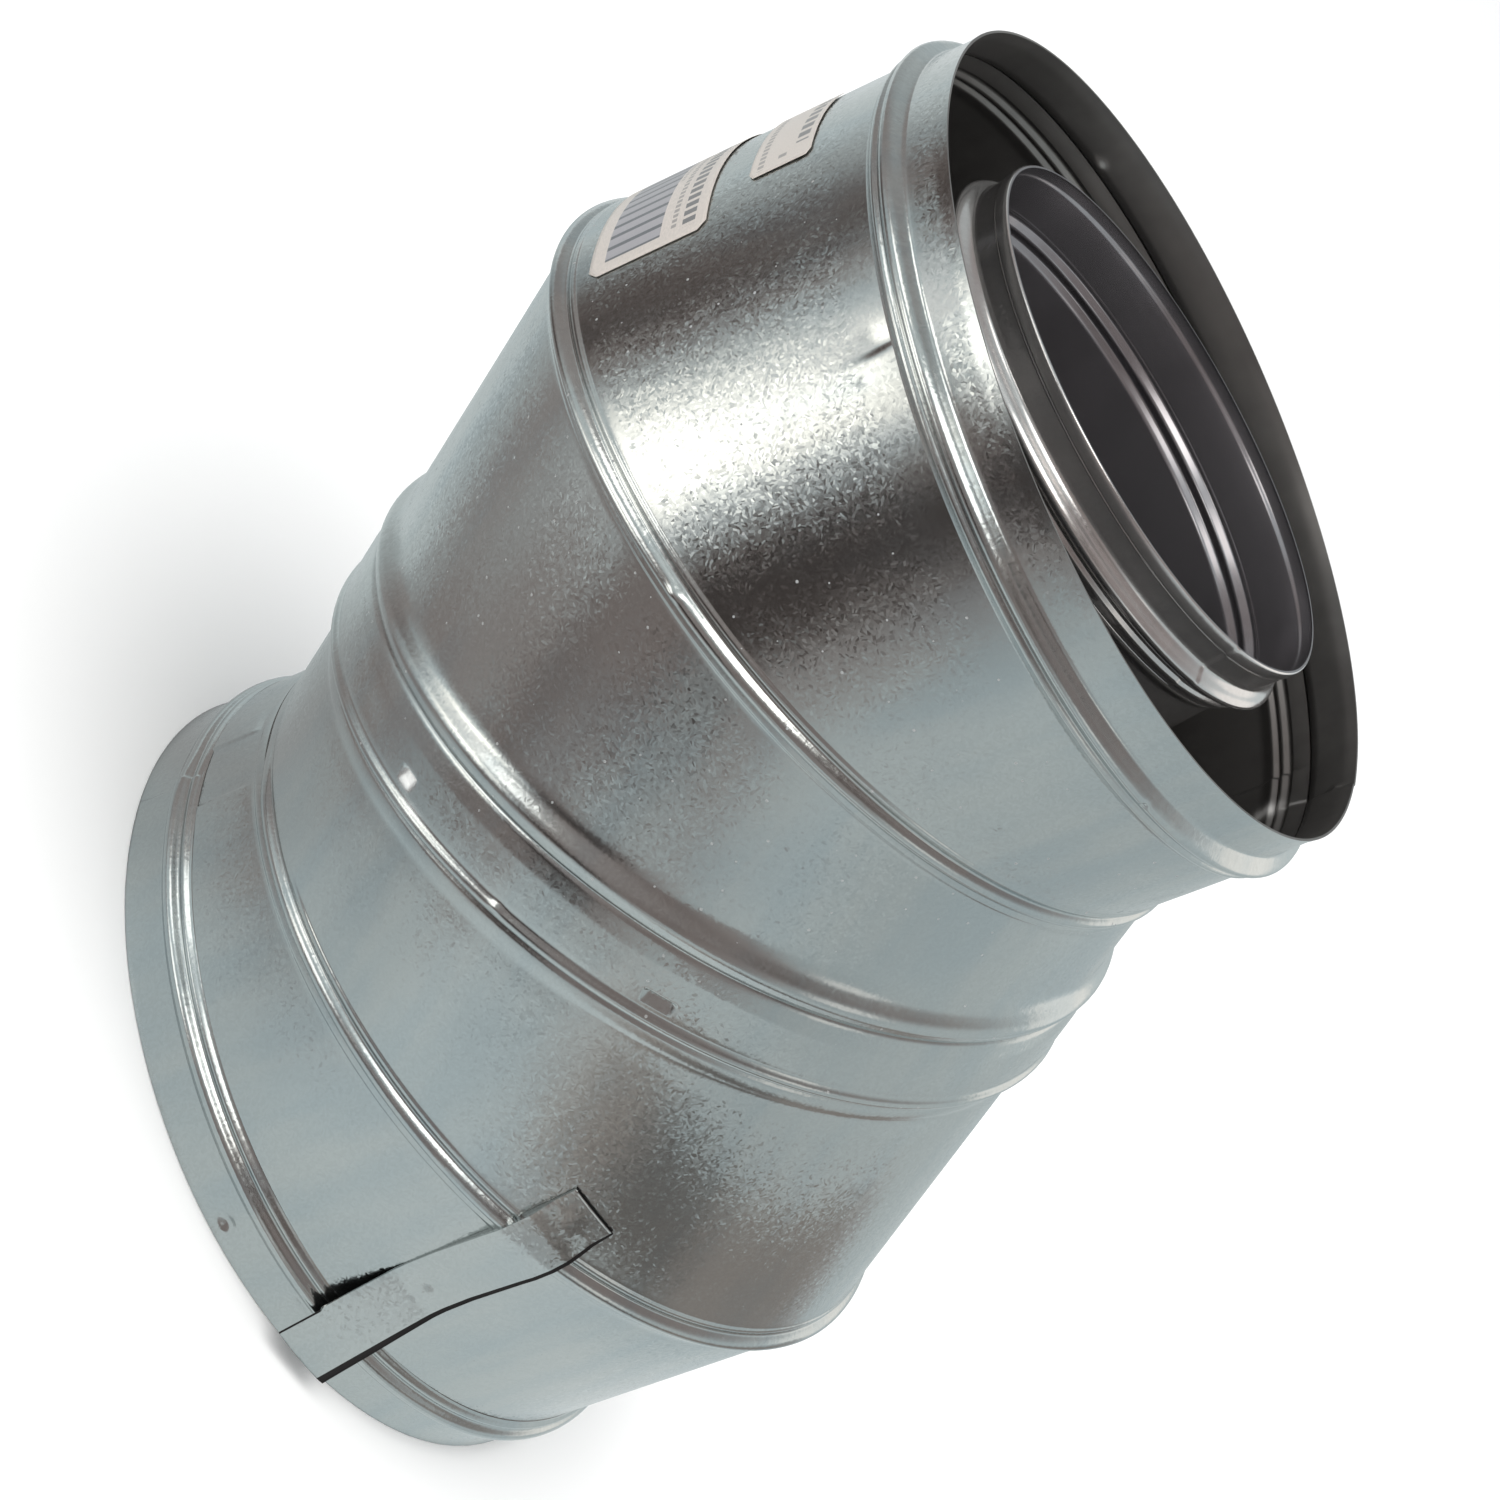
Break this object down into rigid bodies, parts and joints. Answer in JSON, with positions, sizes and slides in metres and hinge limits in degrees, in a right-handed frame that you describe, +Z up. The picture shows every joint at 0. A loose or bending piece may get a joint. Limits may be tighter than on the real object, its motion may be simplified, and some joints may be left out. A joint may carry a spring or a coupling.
{
  "type": "coaxial flue swivel elbow",
  "caption": "Coaxial direct-vent flue elbow: a galvanised shell round a metal liner, in mitred halves that turn on a clinched swivel band, with a welded support strap.",
  "frame": {"origin": "bottom centre of the bounding box; the part stands on its lower shell rim", "axes": "+Z up, along both end axes; +X from the lower end's axis towards the upper end's axis; the bends and the swivel axis lie in the XZ plane; the strap is on the +Y side"},
  "size_m": [0.2824, 0.2126, 0.2762],
  "materials": {
    "galvanised_shell": "galvanised sheet, satin to bright, with a fine zinc spangle",
    "liner_sheet": "bright rolled sheet, darkened by the depth of the pipe",
    "spring_strip": "plain galvanised strip",
    "strap": "galvanised strip with two spot welds",
    "label_paper": null
  },
  "bodies": {
    "lower_half": {"lower_shell_collar": "galvanised_shell", "lower_end_gore": "galvanised_shell", "lower_swivel_gore": "galvanised_shell", "support_strap": "strap", "lower_liner_collar": "liner_sheet", "lower_liner_gore": "liner_sheet", "lower_liner_swivel": "liner_sheet", "lower_spacer_1": "spring_strip", "lower_spacer_2": "spring_strip", "lower_spacer_3": "spring_strip"},
    "upper_half": {"upper_swivel_gore": "galvanised_shell", "swivel_band": "galvanised_shell", "upper_end_gore": "galvanised_shell", "upper_shell_collar": "galvanised_shell", "upper_liner_swivel": "liner_sheet", "upper_liner_gore": "liner_sheet", "upper_liner_collar": "liner_sheet", "upper_spacer_1": "spring_strip", "upper_spacer_2": "spring_strip", "upper_spacer_3": "spring_strip", "label_large": "label_paper", "label_small": "label_paper"}
  },
  "joints": [
    {"name": "swivel", "type": "hinge", "parent": "lower_half", "child": "upper_half", "pos_m": [-0.00317, -0.0013, 0.12256], "axis": [0.5, 0, 0.866], "continuous": true}
  ]
}
